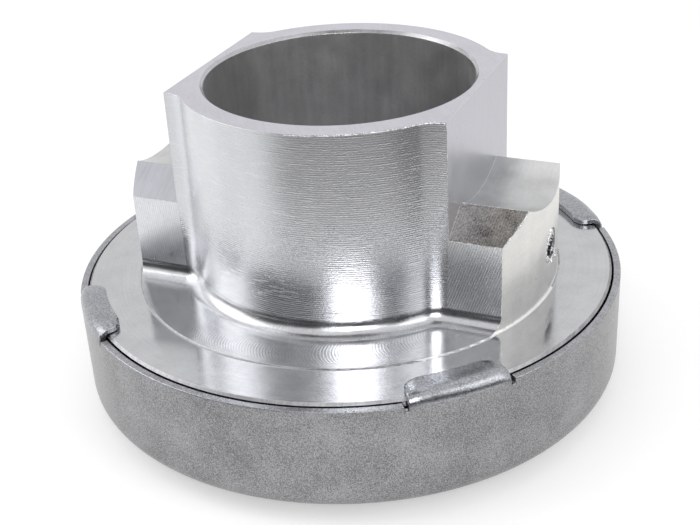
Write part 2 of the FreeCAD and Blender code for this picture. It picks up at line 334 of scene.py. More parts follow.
# What a metal's look has where it says nothing else. Sizes are real millimetres.
plainMetal = {
    "turned": "straight",       # or round, for marks that run round the Z axis
    "arcRadiusMm": 30.0,        # the radius at which the length of such a mark is real
    "turnDeg": (0, 0, 0),
    "markNoise": (1.0, 0.5),    # detail and roughness of each noise
    "dashNoise": (0.0, 0.5),
    "spotNoise": (4.0, 0.55),
    "grainNoise": (3.0, 0.6),
    "ridges": 0.0,              # how strong the even ridges are beside the scratches
    "wander": 2.5,              # how far the scratches push the ridges out of step
    "dashes": 0.0,
    "dashFrom": (0.62, 0.74),   # the part of the noise that makes a dash
    "markTone": 0.5,            # shares of marks, spots and grain in the tone
    "spotTone": 0.5,
    "grainTone": 0.2,
    "toneSpan": 0.18,           # how far from the middle of that sum both colours are reached
    "spotMm": 5.0,
    "spotRange": (0.3, 0.7),
    "grainMm": 0.3,
    "grainDepthMm": 0.004,
    "pitMm": 0.0,
    "pitApartMm": 6.0,
    "pitColour": "#4a4a4a",
    "pitCover": 0.8,
    "edgeMm": 0.12,
    "edgeSamples": 4,
    # the edge colour and the settings below paint edges pale: partly wear, partly a painted highlight
    # along them
    "edge": "#f6f6f8",
    "edgeWearAndGlint": 0.6,
    "wearAndGlintFrom": (0.995, 0.93),  # match of the rounded and the flat normal where wear starts and is full
    "wearAndGlintGrain": (0.35, 0.6),
    "leastWearAndGlint": 0.35,
    "anisotropic": 0.0,
    "metallic": 1.0,
}


def millArcs(tree, look, radius, turn):
    # Arcs of an end mill that was led round the axis: turn times the path's radius, plus how far the
    # mill's round edge lies ahead there, the root of its radius squared less the offset squared.
    offset = compute(tree, "SUBTRACT", radius, look["pathMm"] * mm)
    square = compute(tree, "MULTIPLY", offset, offset)
    left = compute(tree, "SUBTRACT", (look["cutterRadiusMm"] * mm) ** 2, square, clamp=True)
    ahead = compute(tree, "POWER", left, 0.5)
    travel = compute(tree, "MULTIPLY_ADD", turn, look["pathMm"] * mm, ahead)
    return compute(tree, "MULTIPLY", travel, 2 * math.pi / (look["feedMm"] * mm))


def metalFinish(name, ownLook):
    # Bare metal whose marks come from its tool. The marks are noise that is stretched along the cut:
    # markSizeMm is the length of a mark along X, Y and Z after the turn, so the smallest is the pitch.
    # Where marks run round the axis, X is the radius, Y the height and Z the arc.
    look = {**plainMetal, **ownLook}
    material, tree = newMaterial(name)
    place = addNode(tree, "ShaderNodeTexCoord").outputs["Object"]
    along = place
    if look["turned"] == "round":
        flat = addNode(tree, "ShaderNodeVectorMath", {"operation": "MULTIPLY", 1: (1, 1, 0)}, {0: place})
        span = addNode(tree, "ShaderNodeVectorMath", {"operation": "LENGTH"}, {0: flat.outputs[0]})
        radius = span.outputs["Value"]
        apart = addNode(tree, "ShaderNodeSeparateXYZ", {}, {0: place}).outputs
        turn = compute(tree, "ARCTAN2", apart[1], apart[0])
        arc = compute(tree, "MULTIPLY", turn, look["arcRadiusMm"] * mm)
        along = addNode(tree, "ShaderNodeCombineXYZ", {}, {0: radius, 1: apart[2], 2: arc}).outputs[0]
    scratches = noiseOver(tree, along, look["markSizeMm"], look["markNoise"], look["turnDeg"])
    marks = scratches
    if look["ridges"]:
        # even ridges at the cutter's feed: a sine across the cut, pushed out of step by the scratches
        if "cutterRadiusMm" in look:
            across = millArcs(tree, look, radius, turn)
        else:
            feed = inSizes(tree, along, [look["feedMm"] / (2 * math.pi)] * 3, look["turnDeg"])
            axes = addNode(tree, "ShaderNodeSeparateXYZ", {}, {0: feed}).outputs
            across = axes[int(np.argmin(look["markSizeMm"]))]
        ridge = compute(tree, "SINE", compute(tree, "MULTIPLY_ADD", scratches, look["wander"], across))
        marks = compute(tree, "MULTIPLY_ADD", ridge, look["ridges"] / 2, marks)
    if look["dashes"]:
        # now and then a long dash, where a chip was dragged along the cut
        dragged = noiseOver(tree, along, look["dashSizeMm"], look["dashNoise"], look["turnDeg"])
        marks = compute(tree, "ADD", marks, remap(tree, dragged, look["dashFrom"], (0.0, look["dashes"])))
    cloud = noiseOver(tree, place, [look["spotMm"]] * 3, look["spotNoise"])
    grain = noiseOver(tree, place, [look["grainMm"]] * 3, look["grainNoise"])

    tone = compute(tree, "MULTIPLY", marks, look["markTone"])
    tone = compute(tree, "MULTIPLY_ADD", cloud, look["spotTone"], tone)
    tone = compute(tree, "MULTIPLY_ADD", grain, look["grainTone"], tone)
    total = look["markTone"] + look["spotTone"] + look["grainTone"]
    spread = remap(tree, tone, (total * (0.5 - look["toneSpan"]), total * (0.5 + look["toneSpan"])))
    colour = blendColours(tree, spread, look["dark"], look["light"])
    gloss = remap(tree, cloud, look["spotRange"], look["roughness"])
    if look["pitMm"]:
        # sparse pits: dark dots round the scattered middles of Voronoi cells
        cells = inSizes(tree, place, [look["pitApartMm"]] * 3)
        middles = addNode(tree, "ShaderNodeTexVoronoi", {"Scale": 1.0}, {"Vector": cells})
        pit = remap(tree, middles.outputs["Distance"], (look["pitMm"] / look["pitApartMm"], 0.0),
                    (0.0, look["pitCover"]))
        colour = blendColours(tree, pit, colour, look["pitColour"])

    # edges are rounded over a fraction of a millimetre and painted pale there, partly as wear and partly
    # as a painted highlight, more where the grain is high
    rounded = addNode(tree, "ShaderNodeBevel",
                      {"samples": look["edgeSamples"], "Radius": look["edgeMm"] * mm}).outputs[0]
    flatNormal = addNode(tree, "ShaderNodeNewGeometry").outputs["Normal"]
    match = addNode(tree, "ShaderNodeVectorMath", {"operation": "DOT_PRODUCT"},
                    {0: rounded, 1: flatNormal})
    wornAndGlinting = remap(tree, match.outputs["Value"], look["wearAndGlintFrom"], (0.0, look["edgeWearAndGlint"]))
    patchy = remap(tree, grain, look["wearAndGlintGrain"], (look["leastWearAndGlint"], 1.0))
    colour = blendColours(tree, compute(tree, "MULTIPLY", wornAndGlinting, patchy), colour, look["edge"])

    normal = rounded
    for height, depth in ((marks, look["markDepthMm"]), (grain, look["grainDepthMm"])):
        normal = addNode(tree, "ShaderNodeBump", {"Strength": 1.0, "Distance": depth * mm},
                         {"Height": height, "Normal": normal}).outputs[0]
    links = {"Base Color": colour, "Roughness": gloss, "Normal": normal}
    if look["anisotropic"]:
        # the cut runs round Z, so highlights stretch across it
        cut = addNode(tree, "ShaderNodeVectorMath", {"operation": "CROSS_PRODUCT", 0: (0, 0, 1)},
                      {1: place})
        links["Tangent"] = cut.outputs[0]
    settings = {"Metallic": look["metallic"], "Anisotropic": look["anisotropic"]}
    setSurface(tree, addNode(tree, "ShaderNodeBsdfPrincipled", settings, links))
    return material


# Machined aluminium alloy, bright and slightly blue-grey. Every face has the marks of its own cut.
carrierLooks = {
    # the bore: pale satin with soft upright streaks
    "boredAluminium": {
        "turned": "round", "markSizeMm": (1.0, 14.0, 1.6), "dark": "#c9c9ca", "light": "#dfdfdf",
        "roughness": (0.32, 0.42), "markDepthMm": 0.001, "anisotropic": 0.4, "spotMm": 4.0,
        "grainMm": 0.5, "grainTone": 0.4, "grainDepthMm": 0.008, "pitMm": 0.12, "pitApartMm": 4.0},
    # the mouth of the bore: a greyer ring with short turned lines
    "chamferedAluminium": {
        "turned": "round", "markSizeMm": (0.3, 0.3, 4.0), "dark": "#a4a4a7", "light": "#c6c6c9",
        "roughness": (0.22, 0.34), "markDepthMm": 0.003, "spotMm": 3.0},
    # the top face: cool matt grey with a few pits. The lines are wider than a real face mill's.
    "milledTopAluminium": {
        "markSizeMm": (0.5, 6.0, 6.0), "turnDeg": (0, 0, 35), "dark": "#b9b8c1", "light": "#cdccd3",
        "roughness": (0.28, 0.38), "markDepthMm": 0.002, "spotMm": 3.0, "markTone": 0.25,
        "grainMm": 0.4, "grainTone": 0.5, "pitMm": 0.2, "pitApartMm": 5.0},
    # the barrel: silk sheen broken by fine level lines, with a dragged dash here and there. The lines
    # stand 0.36 mm apart, coarser than real, so that the picture can show them.
    "milledSideAluminium": {
        "markSizeMm": (0.34, 0.34, 0.16), "turnDeg": (0, 1.5, 0), "dark": "#cbcccf", "light": "#dcdde0",
        "roughness": (0.20, 0.25), "markDepthMm": 0.016, "markTone": 0.3, "spotTone": 0.4,
        "anisotropic": 0.6, "spotMm": 9.0, "ridges": 0.4, "feedMm": 0.36, "wander": 5.0,
        "grainMm": 0.4, "grainDepthMm": 0.003, "dashSizeMm": (2.8, 2.8, 0.25), "dashes": 0.45},
    # the foot fillet: smooth and slightly granular, so that it mirrors in dark and light bands
    "filletedAluminium": {
        "markSizeMm": (0.34, 0.34, 0.34), "dark": "#b6b7ba", "light": "#cecfd2",
        "roughness": (0.20, 0.28), "markDepthMm": 0.008, "markTone": 0.3, "spotMm": 4.0,
        "edgeWearAndGlint": 0.0},
    # the cheeks: cool and nearly plain, with a few pits
    "milledFlatAluminium": {
        "markSizeMm": (0.4, 0.4, 6.0), "dark": "#b2b2b9", "light": "#c0c0c6",
        "roughness": (0.28, 0.38), "markDepthMm": 0.001, "spotMm": 5.0, "markTone": 0.25,
        "grainMm": 0.4, "grainTone": 0.4, "pitMm": 0.22, "pitApartMm": 6.0},
    # the right lug's sides: strong slanted cutter lines, white on grey, coarser than real to be seen
    "milledLugAluminium": {
        "markSizeMm": (0.15, 1.4, 1.4), "turnDeg": (0, 20.0, 0), "dark": "#d6d7da", "light": "#f4f5f7",
        "roughness": (0.22, 0.30), "markDepthMm": 0.012, "markTone": 0.8, "spotTone": 0.2,
        "spotMm": 5.0, "ridges": 0.7, "feedMm": 0.40, "wander": 1.6, "grainTone": 0.3},
    # the left lug's sides: the same cut, nearly upright and fainter
    "milledLeftLugAluminium": {
        "markSizeMm": (0.15, 1.0, 1.0), "turnDeg": (0, -4.0, 0), "dark": "#d4d5d9", "light": "#eeeff2",
        "roughness": (0.26, 0.34), "markDepthMm": 0.008, "markTone": 0.25, "spotTone": 0.3,
        "spotMm": 5.0, "ridges": 0.6, "feedMm": 0.40, "wander": 2.0},
    # the right lug's bevels: torn and mottled, from brownish grey to nearly white; the dark brownish grey
    # is partly painted shade
    "tornShadedBevelAluminium": {
        "markSizeMm": (0.16, 0.45, 0.45), "turnDeg": (0, 8.0, 0), "dark": "#7d7b79", "light": "#d5d1cd",
        "roughness": (0.24, 0.34), "markDepthMm": 0.016, "markTone": 0.5, "spotTone": 0.5,
        "spotMm": 4.0, "toneSpan": 0.13, "ridges": 0.2, "feedMm": 0.4, "grainMm": 0.3,
        "grainTone": 0.8, "grainDepthMm": 0.014},
    # the left lug's bevels: even matt grey
    "smoothBevelAluminium": {
        "markSizeMm": (0.5, 6.0, 6.0), "dark": "#a3a4aa", "light": "#b4b5bb",
        "roughness": (0.28, 0.38), "markDepthMm": 0.002, "spotMm": 4.0},
    # the saddles: pale satin, softly clouded
    "saddleAluminium": {
        "markSizeMm": (0.4, 8.0, 8.0), "dark": "#b6b8b5", "light": "#cfcfd1", "markTone": 0.15,
        "roughness": (0.28, 0.38), "markDepthMm": 0.001, "spotMm": 3.5, "spotTone": 0.8,
        "grainMm": 0.4, "grainTone": 0.3, "pitMm": 0.2, "pitApartMm": 6.0},
    # the lugs' ends and toes: warm and nearly white, with faint level lines
    "turnedLugEndAluminium": {
        "turned": "round", "markSizeMm": (1.0, 0.3, 6.0), "dark": "#d3d2cf", "light": "#e8e7e4",
        "roughness": (0.30, 0.40), "markDepthMm": 0.001, "anisotropic": 0.4, "spotMm": 3.0,
        "markTone": 0.2, "grainMm": 0.45, "grainTone": 0.3, "pitMm": 0.22, "pitApartMm": 5.0},
    # the flange: nearly a mirror, whose highlight is drawn out across fine rings, wider than real
    "turnedFlangeAluminium": {
        "turned": "round", "markSizeMm": (0.3, 1.0, 14.0), "dark": "#b4b5b8", "light": "#c6c7c9",
        "roughness": (0.11, 0.17), "markDepthMm": 0.0004, "markTone": 0.2, "anisotropic": 0.7,
        "spotMm": 5.0, "grainDepthMm": 0.0015, "grainMm": 0.5, "edgeMm": 0.03, "edgeWearAndGlint": 0.1,
        "pitMm": 0.15, "pitApartMm": 5.0},
    # the milled floor: bright, with the overlapping arcs of a 10 mm end mill
    "swirledFloorAluminium": {
        "turned": "round", "markSizeMm": (0.6, 1.0, 5.0), "dark": "#b0b1b4", "light": "#c8c9cb",
        "roughness": (0.13, 0.20), "markDepthMm": 0.007, "markTone": 0.15, "anisotropic": 0.3,
        "spotMm": 4.0, "edgeMm": 0.03, "edgeWearAndGlint": 0.1, "cutterRadiusMm": 5.0, "pathMm": 31.35,
        "feedMm": 0.5, "ridges": 0.9, "wander": 1.2},
    # the step round the milled floor, at the front right: painted pale with a white edge, a painted
    # highlight in a thin white line
    "highlitStepAluminium": {
        "turned": "round", "markSizeMm": (0.3, 0.3, 9.0), "dark": "#d8d8da", "light": "#ececee",
        "roughness": (0.24, 0.34), "markDepthMm": 0.0005, "markTone": 0.1, "spotMm": 3.0,
        "grainDepthMm": 0.001, "edgeMm": 0.25, "edgeWearAndGlint": 0.9},
    # the clip holes, the rest of the step and the flange's rim: dull dark grey
    "drilledAluminium": {
        "markSizeMm": (0.3, 3.0, 3.0), "dark": "#838386", "light": "#b0b0b3",
        "roughness": (0.30, 0.42), "markDepthMm": 0.01, "spotMm": 2.0},
}
otherMetalLooks = {
    # a burr that the cutter left on an edge: torn, clean and bright
    "burredAluminium": {
        "markSizeMm": (0.3, 0.3, 0.3), "dark": "#c9c9cc", "light": "#f0f0f2",
        "roughness": (0.22, 0.40), "markDepthMm": 0.02, "markTone": 0.6, "spotMm": 0.8},
    # phosphated deep-drawn steel: matt mid grey, cloudy and finely speckled. The real crystals measure
    # hundredths of a millimetre; they are drawn at 0.15 mm, the size of a pixel.
    "phosphatedSteel": {
        "markSizeMm": (0.30, 0.30, 0.30), "dark": "#6f6f70", "light": "#a7a7a9",
        "roughness": (0.25, 0.36), "markDepthMm": 0.006, "markTone": 0.3, "grainMm": 0.15,
        "grainTone": 1.1, "grainDepthMm": 0.011, "spotMm": 9.0, "spotTone": 0.40,
        "toneSpan": 0.075, "edge": "#c4c4c6", "edgeWearAndGlint": 0.5, "edgeMm": 0.18, "metallic": 0.9,
        "pitMm": 0.25, "pitApartMm": 7.0},
    # the same sheet where the crimping tool rubbed it: darker, glossier, with a skin like orange peel
    "crimpedSteel": {
        "markSizeMm": (0.4, 0.4, 0.4), "dark": "#7d7e82", "light": "#b4b6bb",
        "roughness": (0.22, 0.32), "markDepthMm": 0.014, "markTone": 0.4, "grainMm": 0.24,
        "grainTone": 1.0, "grainDepthMm": 0.014, "spotMm": 3.0, "spotTone": 0.35,
        "toneSpan": 0.12, "edge": "#d0d0d2", "edgeWearAndGlint": 0.6, "metallic": 0.95},
    # turned and ground bearing steel: cool grey with rings round the axis, some times wider than real
    "groundBearingSteel": {
        "turned": "round", "markSizeMm": (0.18, 0.18, 10.0), "dark": "#8b8c90", "light": "#b5b6ba",
        "roughness": (0.16, 0.26), "markDepthMm": 0.003, "anisotropic": 0.6, "spotMm": 8.0},
    # lapped ball steel: a clean mirror with a faint haze
    "lappedBallSteel": {
        "markSizeMm": (3.0, 3.0, 3.0), "dark": "#b2b3b7", "light": "#c9cacd",
        "roughness": (0.04, 0.09), "markDepthMm": 0.0005, "grainDepthMm": 0.0002, "spotMm": 3.0},
    # blued spring steel: dull blue-grey with a rolled grain
    "bluedSpringSteel": {
        "turned": "round", "markSizeMm": (0.3, 1.0, 6.0), "dark": "#4c535f", "light": "#6d7480",
        "roughness": (0.28, 0.40), "markDepthMm": 0.004, "spotMm": 5.0},
}


def mouldedFinish(name, look):
    # Plastic or rubber from a mould: a soft sheen, cloudy tone and the grain of the mould's wall.
    material, tree = newMaterial(name)
    place = addNode(tree, "ShaderNodeTexCoord").outputs["Object"]
    cloud = noiseOver(tree, place, [look["spotMm"]] * 3, (4.0, 0.5))
    grain = noiseOver(tree, place, [look["grainMm"]] * 3, (3.0, 0.5))
    bump = addNode(tree, "ShaderNodeBump", {"Strength": 1.0, "Distance": look["grainDepthMm"] * mm},
                   {"Height": grain})
    links = {"Base Color": blendColours(tree, cloud, look["dark"], look["light"]),
             "Roughness": remap(tree, grain, (0.0, 1.0), look["roughness"]), "Normal": bump.outputs[0]}
    setSurface(tree, addNode(tree, "ShaderNodeBsdfPrincipled", {"IOR": look["ior"]}, links))
    return material


# The grain of both is drawn a few times coarser than a real mould's.
mouldedLooks = {
    # glass-filled polyamide 66, natural: creamy, with faint flow clouds
    "mouldedPolyamide": {
        "dark": "#c4b690", "light": "#d6caa8", "roughness": (0.38, 0.5), "spotMm": 4.0,
        "grainMm": 0.25, "grainDepthMm": 0.01, "ior": 1.53},
    # nitrile rubber: black, with a dull bloom
    "mouldedNitrile": {
        "dark": "#17181a", "light": "#232427", "roughness": (0.45, 0.62), "spotMm": 3.0,
        "grainMm": 0.2, "grainDepthMm": 0.01, "ior": 1.52},
}

metalLooks = {**carrierLooks, **otherMetalLooks}
finishes = {name: metalFinish(name, look) for name, look in metalLooks.items()}
finishes.update({name: mouldedFinish(name, look) for name, look in mouldedLooks.items()})
print("finishes made:", len(finishes))


def mergedCopy(nodeName, pieceName, creaseDeg=25):
    # The node's loose triangles joined at their corners, shaded smooth up to the crease angle.
    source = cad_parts[nodeName].data
    points = np.empty(len(source.vertices) * 3, np.float32)
    source.vertices.foreach_get("co", points)
    faces = np.empty(len(source.loops), np.int32)
    source.loops.foreach_get("vertex_index", faces)
    unique, index = np.unique(np.round(points.reshape(-1, 3), 7), axis=0, return_inverse=True)
    faces = index.reshape(-1)[faces].reshape(-1, 3)
    whole = (faces != np.roll(faces, -1, axis=1)).all(axis=1)
    mesh = bpy.data.meshes.new(pieceName)
    mesh.from_pydata(unique.tolist(), [], faces[whole].tolist())
    mesh.polygons.foreach_set("use_smooth", np.ones(len(mesh.polygons), bool))
    mesh.set_sharp_from_angle(angle=math.radians(creaseDeg))
    piece = linkObject(pieceName, mesh)
    shade = piece.modifiers.new("flatFacesFirst", "WEIGHTED_NORMAL")
    shade.keep_sharp = True
    return piece


def readArray(items, field):
    # one row of three numbers for every vertex or face of a mesh
    values = np.empty(len(items) * 3)
    items.foreach_get(field, values)
    return values.reshape(-1, 3)


# Where each cut of the carrier lies, in millimetres, and how it faces.
carrierSettings = {
    "hair": 0.01,               # slack on heights and radii
    "boreRadius": 22.25,
    "boreMouth": 22.80,
    "halfFlats": 23.8,
    "offFlats": 0.05,           # slack on the cheeks' planes and the bore's radius
    "lugEndRadius": 36.0,
    "lugEndBand": 0.4,
    "toeBand": 0.1,
    "flangeTop": 21.0,
    "milledFloor": 21.2,
    "lugFoot": 21.22,
    "filletTop": 23.65,
    "toeTop": 21.65,
    # x beyond which the front of the step carries the painted highlight
    "brightStepFrom": 23.0,
    "bevelLow": 35.5,
    "topFace": 54.9,
    "clipHoleFrom": 27.0,
    "clipHoleHeight": 28.9,
    "clipHoleRadius": 3.0,
    # limits on the parts of a face's normal, where 1 is square to the direction and 0 is along it
    "facing": {
        "cheek": 0.98,
        "side": 0.5,
        "level": 0.95,
        "notUpright": 0.03,
        "lugEnd": 0.6,
        "bevelUp": 0.5,
        "bevelOut": 0.47,
        "saddleUp": 0.8,
        "saddleOut": 0.01,
        "toeUp": 0.6,
        "rim": (0.3, 0.9),
        "bore": -0.2,
        "hole": 0.85,
    },
}


def makeCarrier(s):
    # Each face gets the finish of the cut that made it, picked from where it lies and how it faces; the
    # step's front right and the right lug's bevels also carry painted light in their finishes.
    piece = mergedCopy("carrier_sleeve", "carrierBody")
    mesh = piece.data
    x, y, z = readArray(mesh.polygons, "center").T / mm
    nx, ny, nz = readArray(mesh.polygons, "normal").T
    radius = np.hypot(x, y)
    outward = (nx * x + ny * y) / radius
    awayFromX = ny * np.sign(y)
    hair, facing = s["hair"], s["facing"]
    onLug = (np.abs(x) > s["halfFlats"] + s["offFlats"]) & (z > s["lugFoot"])
    onFlange = (z < s["flangeTop"] + hair) & (radius > s["boreMouth"])
    names = list(carrierLooks)
    slot = np.full(len(x), names.index("milledSideAluminium"))

    def pick(test, name):
        slot[test] = names.index(name)

    pick((np.abs(nx) > facing["cheek"]) & (np.abs(np.abs(x) - s["halfFlats"]) < s["offFlats"]),
         "milledFlatAluminium")
    pick(onLug & (np.abs(ny) > facing["side"]), "milledLugAluminium")
    pick(onLug & (np.abs(ny) > facing["side"]) & (x < 0), "milledLeftLugAluminium")
    pick((z > s["milledFloor"] - hair) & (z < s["filletTop"])
         & (nz > facing["notUpright"]) & (nz < facing["level"]), "filletedAluminium")
    pick(onLug & (np.abs(radius - s["lugEndRadius"]) < s["lugEndBand"]) & (outward > facing["lugEnd"]),
         "turnedLugEndAluminium")
    # the lugs' bevels; the right ones keep the finish whose dark tone is partly painted shade
    pick(onLug & (z > s["bevelLow"] - hair) & (nz > facing["bevelUp"]) & (awayFromX > facing["bevelOut"]),
         "tornShadedBevelAluminium")
    pick((slot == names.index("tornShadedBevelAluminium")) & (x < 0), "smoothBevelAluminium")
    pick(onLug & (z > s["bevelLow"]) & (nz > facing["saddleUp"]) & (awayFromX < facing["saddleOut"]),
         "saddleAluminium")
    pick((nz > facing["level"]) & (z < s["filletTop"]), "swirledFloorAluminium")
    pick(onFlange, "turnedFlangeAluminium")
    pick((radius > s["lugEndRadius"] - s["toeBand"]) & (z > s["milledFloor"]) & (z < s["toeTop"])
         & (nz < facing["toeUp"]), "turnedLugEndAluminium")
    step = (z > s["flangeTop"] + hair) & (z < s["milledFloor"] + hair) & (nz < facing["level"])
    pick(step, "drilledAluminium")
    # painted highlight: the front right of the step gets the pale finish
    pick(step & (x > s["brightStepFrom"]) & (y < 0), "highlitStepAluminium")
    pick(onFlange & (nz > facing["rim"][0]) & (nz < facing["rim"][1]), "drilledAluminium")
    pick((nz > facing["level"]) & (z > s["topFace"] - hair), "milledTopAluminium")
    pick((radius < s["boreMouth"]) & (outward < facing["bore"]), "boredAluminium")
    pick((radius < s["boreMouth"]) & (radius > s["boreRadius"] + s["offFlats"]), "chamferedAluminium")
    pick((np.hypot(y, z - s["clipHoleHeight"]) < s["clipHoleRadius"]) & (np.abs(x) > s["clipHoleFrom"])
         & (outward < facing["hole"]), "drilledAluminium")
    for name in names:
        mesh.materials.append(finishes[name])
    mesh.polygons.foreach_set("material_index", slot.astype(np.int32))
    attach(piece, "carrier")
    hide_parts("carrier_sleeve")
    print("carrier made:", {name: int((slot == i).sum()) for i, name in enumerate(names)})


makeCarrier(carrierSettings)

# node, piece, body, finish and slot of the parts that only need smoother shading
bearingCopies = (
    ("thrust_ring", "thrustRing", "thrust", "groundBearingSteel", "ground_bearing_steel"),
    ("outer_ring", "outerRing", "outer_race", "groundBearingSteel", "ground_bearing_steel"),
    ("front_seal", "frontSeal", "outer_race", "mouldedNitrile", "seal_rubber"),
)
# the finish of every node that is drawn as it is; the rest of them are balls
ownNodes = {
    "rear_seal": "mouldedNitrile",
    "ball_cage": "mouldedPolyamide",
    "wave_spring": "bluedSpringSteel",
}


def dressBearing(copies, nodes):
    for node, name, body, finish, slot in copies:
        piece = mergedCopy(node, name)
        piece.data.materials.append(finishes[finish])
        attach(piece, body)
        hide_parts(node)
    balls = {node: "lappedBallSteel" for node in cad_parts
             if node.startswith("ball_") and node not in nodes}
    for node, finish in {**nodes, **balls}.items():
        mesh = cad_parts[node].data
        mesh.materials.clear()
        mesh.materials.append(finishes[finish])
    print("bearing dressed:", len(copies), "copies,", len(nodes) + len(balls), "nodes")


dressBearing(bearingCopies, ownNodes)

cupSettings = {
    "floorMm": 2.4,
    "rimMm": 20.6,
    "radiusMm": 46.702,
    "openingMm": 37.27,
    "wallMm": 1.2,
    "cornerMm": 3.0,
    "slitDepthMm": 1.0,
    "slitDeg": 0.86,
    "tabDeg": 20.4,
    "flangeTopMm": 21.04,
    "bendMm": 1.85,             # outside of the bend
    "columns": {"tab": 25, "slit": 3, "between": 34},
    "rows": {"floor": 8, "corner": 8, "wall": 14, "rim": 4, "bend": 10, "flat": 7},
    # turn of the tab's middle, radius of its tip, lift and outward bulge of its bend, rounding of its
    # free corners, and how much thinner its ends are
    "tabs": (
        {"atDeg": 43.4, "tipMm": 41.9, "liftMm": 0.25, "bulgeMm": 0.35, "cornerMm": 2.2, "thinMm": 0.35},
        {"atDeg": 133.4, "tipMm": 42.0, "liftMm": 0.10, "bulgeMm": 0.15, "cornerMm": 1.8, "thinMm": 0.25},
        {"atDeg": 223.4, "tipMm": 42.3, "liftMm": 0.15, "bulgeMm": 0.10, "cornerMm": 2.4, "thinMm": 0.30},
        {"atDeg": 313.4, "tipMm": 41.8, "liftMm": 0.12, "bulgeMm": 0.20, "cornerMm": 1.8, "thinMm": 0.45},
    ),
    "liftAtEnds": 0.4,          # share of the lift that is left at a tab's ends
    "thinFrom": 0.75,           # where thinning starts, as a share of a tab's half width
    "creaseDeg": 40,
    "edgeMm": 0.22,
    "edgeFromDeg": 50,
    "edgeSegments": 2,
}


def cupProfile(s):
    # The outside of the sheet as a line from the opening to the rim: flat floor, quarter round corner,
    # straight wall. Every point has a radius, a height and the direction that points out of the sheet.
    n = s["rows"]
    foot = s["rimMm"] - s["slitDepthMm"]
    bent = slice(n["floor"] + 1, n["floor"] + 1 + n["corner"])
    turn = np.concatenate([np.full(bent.start, -np.pi / 2),
                           np.linspace(-np.pi / 2, 0, n["corner"] + 1)[1:],
                           np.zeros(n["wall"] + n["rim"])])
    radius = np.full(len(turn), s["radiusMm"])
    height = np.full(len(turn), s["floorMm"])
    radius[:bent.start] = np.linspace(s["openingMm"], s["radiusMm"] - s["cornerMm"], bent.start)
    radius[bent] = s["radiusMm"] - s["cornerMm"] * (1 - np.cos(turn[bent]))
    height[bent] = s["floorMm"] + s["cornerMm"] * (1 + np.sin(turn[bent]))
    height[bent.stop:] = np.concatenate([
        np.linspace(s["floorMm"] + s["cornerMm"], foot, n["wall"] + 1)[1:],
        np.linspace(foot, s["rimMm"], n["rim"] + 1)[1:]])
    footRows = bent.stop + n["wall"]
    return radius, height, turn, footRows


def cupColumns(s):
    # Turns round the axis, and what stands above the rim there: 1 a tab, 0 a slit, 2 the plain rim.
    c = s["columns"]
    half = s["tabDeg"] / 2
    past = half + s["slitDeg"]
    count = len(s["tabs"])
    local = np.concatenate([np.linspace(-past, -half, c["slit"])[:-1],
                            np.linspace(-half, half, c["tab"]),
                            np.linspace(half, past, c["slit"])[1:],
                            np.linspace(past, 360 / count - past, c["between"])[1:-1]])
    kind = np.where(np.abs(local) <= half + 1e-6, 1, np.where(np.abs(local) <= past + 1e-6, 0, 2))
    middle = np.repeat([t["atDeg"] for t in s["tabs"]], len(local))
    tabOf = np.repeat(np.arange(count), len(local))
    return middle, np.tile(local, count), np.tile(kind, count), tabOf


def cupPoints(s):
    # A sheet over turn and length along the profile, and the same sheet again one wall inside it. Above
    # the slits' foot the tabs' columns go their own way: up, round the bend and in over the flange.
    n = s["rows"]
    radius, height, lean, footRows = cupProfile(s)
    bodyRows = len(radius)
    middle, local, kind, tabOf = cupColumns(s)
    tip, lift, bulge, corner, thin = (np.array([t[k] for t in s["tabs"]])[tabOf][None, :]
                                      for k in ("tipMm", "liftMm", "bulgeMm", "cornerMm", "thinMm"))
    top = s["flangeTopMm"] + s["wallMm"]
    straight = top - s["bendMm"]
    inner = s["radiusMm"] - s["bendMm"]
    bend = np.linspace(0, np.pi / 2, n["bend"] + 1)[1:]
    onward = np.linspace(0, 1, n["flat"] + 1)[1:, None]
    wide = np.ones((1, len(local)))
    r = np.concatenate([radius[:, None] * wide, (inner + s["bendMm"] * np.cos(bend))[:, None] * wide,
                        inner + (tip - inner) * onward])
    z = np.concatenate([height, straight + s["bendMm"] * np.sin(bend), np.full(n["flat"], top)])
    z = z[:, None] * wide
    lean = np.concatenate([lean, bend, np.full(n["flat"], np.pi / 2)])[:, None] * wide
    foot = s["rimMm"] - s["slitDepthMm"]
    isTab = (kind == 1)[None, :]
    rimRows = slice(bodyRows - n["rim"], bodyRows)
    z[rimRows] = np.where(isTab, np.linspace(foot, straight, n["rim"] + 1)[1:, None], z[rimRows])

    # towards its free corners a tab's half width shrinks by a quarter round
    overFlange = (np.arange(len(r)) >= bodyRows)[:, None]
    halfDeg = s["tabDeg"] / 2
    inside = np.clip(1 - (r - tip) / corner, 0, 1)
    narrow = corner * (1 - np.sqrt(1 - inside ** 2)) / (np.radians(halfDeg) * s["radiusMm"])
    angle = np.radians(middle + local * np.where(overFlange & isTab, 1 - narrow, 1))

    # the press leaves each bend a little swollen in its middle, and squeezes the sheet thin at its ends
    side = np.abs(local / halfDeg) * (kind == 1)
    swell = np.cos(np.clip(side, 0, 1) * np.pi / 2)[None, :] ** 2
    bendPart = np.clip((s["radiusMm"] - r) / s["bendMm"], 0, 1)
    climb = np.clip((z - foot) / (top - foot), 0, 1) * isTab
    hump = np.sin(np.clip((s["radiusMm"] - r) / (2 * s["bendMm"]), 0, 1) * np.pi) * climb
    r = r + bulge * climb * swell * (1 - bendPart)
    z = z + lift * hump * (s["liftAtEnds"] + (1 - s["liftAtEnds"]) * swell)
    atEnd = np.clip((side[None, :] - s["thinFrom"]) / (1 - s["thinFrom"]), 0, 1)
    lost = thin * climb * atEnd ** 2
    sheets = [np.stack([ring * np.cos(angle), ring * np.sin(angle), up], -1).reshape(-1, 3)
              for ring, up in ((r - depth * np.cos(lean), z - depth * np.sin(lean))
                               for depth in (lost, s["wallMm"]))]
    return np.concatenate(sheets) * mm, kind, len(r), bodyRows, footRows


